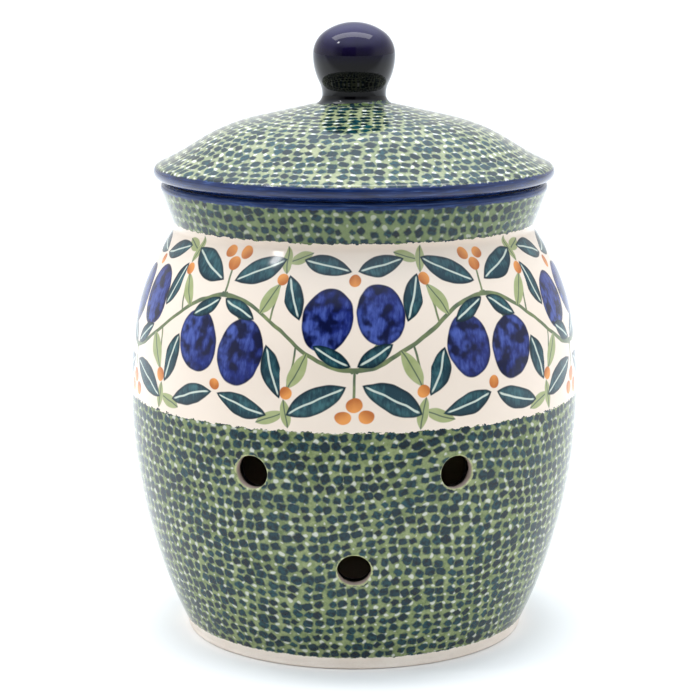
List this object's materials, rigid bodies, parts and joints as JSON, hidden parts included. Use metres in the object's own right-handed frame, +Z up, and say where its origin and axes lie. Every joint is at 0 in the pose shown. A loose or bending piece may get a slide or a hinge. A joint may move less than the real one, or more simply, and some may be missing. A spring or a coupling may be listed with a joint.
{
  "type": "onion keeper",
  "caption": "Stoneware onion keeper: a round-bellied jar with vent holes in its wall, a flared collar and a lift-off domed lid with a knob.",
  "frame": {"origin": "middle of the foot, on the surface that the jar stands on", "axes": "+Z up along the jar's axis, -Y towards the front, where one vent sits below a pair"},
  "size_m": [0.198, 0.198, 0.2674],
  "materials": {
    "jar_glaze": "hand-decorated stoneware under a clear gloss glaze, bare at the foot ring",
    "lid_glaze": "hand-decorated stoneware under a clear gloss glaze",
    "knob_glaze": "dark cobalt gloss glaze"
  },
  "bodies": {
    "jar": {"jar": "jar_glaze"},
    "lid": {"lid": "lid_glaze", "knob": "knob_glaze"}
  },
  "joints": [
    {"name": "lid_lift", "type": "slide", "parent": "jar", "child": "lid", "axis": [0, 0, 1], "range_m": [0, 0.15]}
  ]
}
